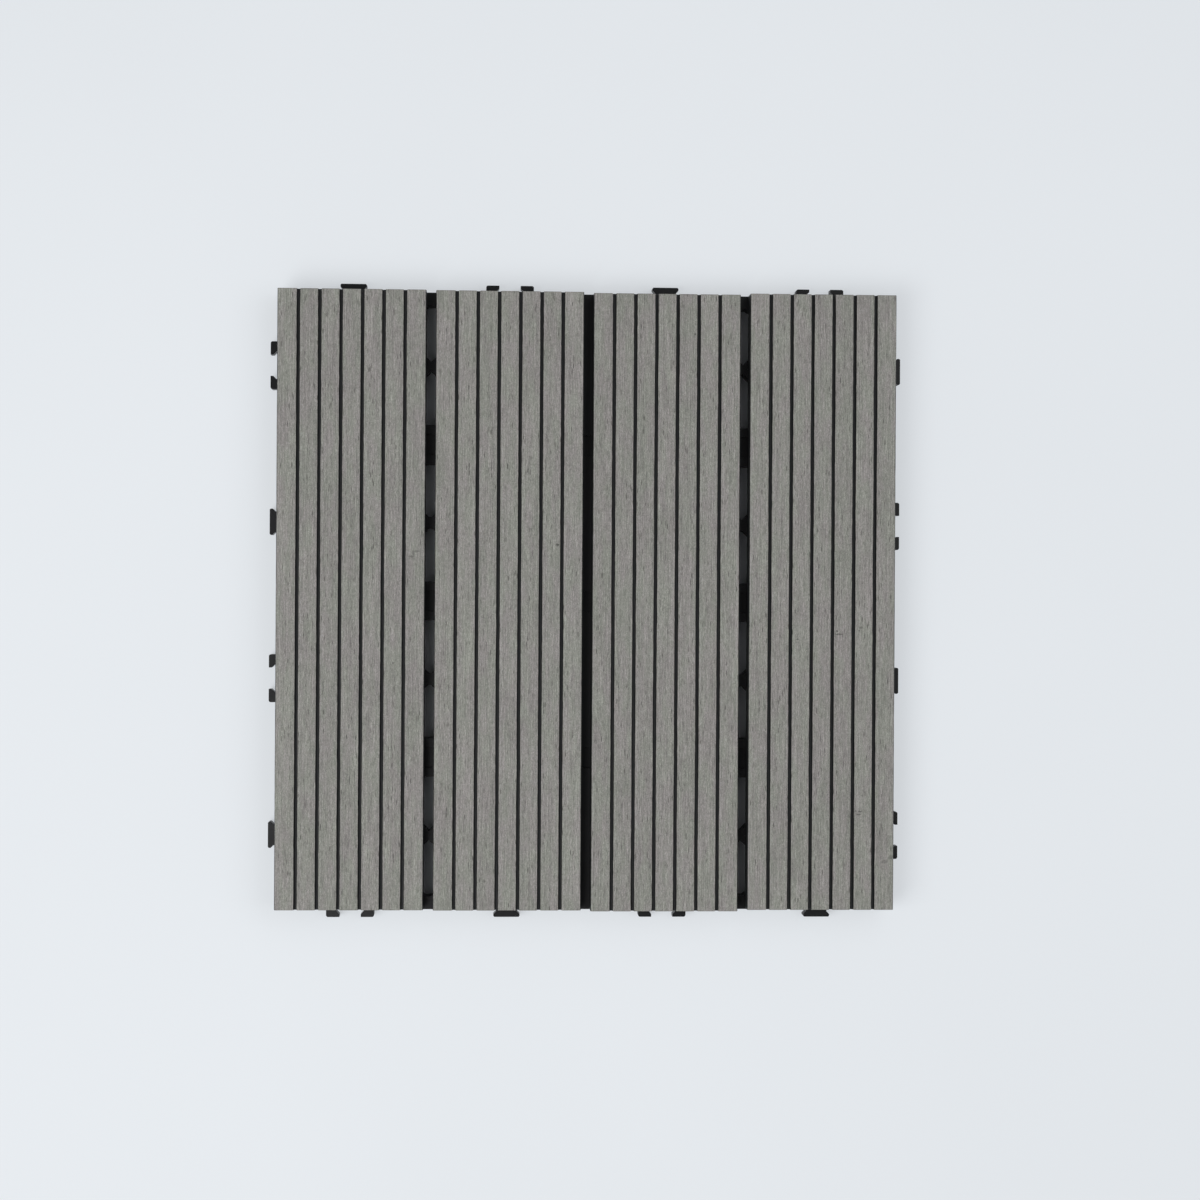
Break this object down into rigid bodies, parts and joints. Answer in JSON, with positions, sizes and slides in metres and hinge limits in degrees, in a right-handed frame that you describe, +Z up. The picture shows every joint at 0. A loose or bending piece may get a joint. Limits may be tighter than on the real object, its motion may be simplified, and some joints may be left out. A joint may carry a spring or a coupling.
{
  "type": "interlocking deck tile",
  "caption": "Square outdoor deck tile of grooved wood-plastic slats on a moulded base grid with interlocking tabs and hooks on every edge.",
  "frame": {"origin": "middle of the tile on the ground, at the bottom of the feet", "axes": "+Z up through the deck, +Y along the slats, +X across them"},
  "size_m": [0.3086, 0.3086, 0.022],
  "materials": {
    "slat": "brushed grey wood-plastic composite, matt, with fine lengthwise streaks",
    "grid": "black moulded polypropylene, satin",
    "screw": "stainless steel"
  },
  "bodies": {
    "root": {"slat_1": "slat", "slat_2": "slat", "slat_3": "slat", "slat_4": "slat", "base_grid": "grid", "slat_screws": "screw"}
  },
  "joints": []
}
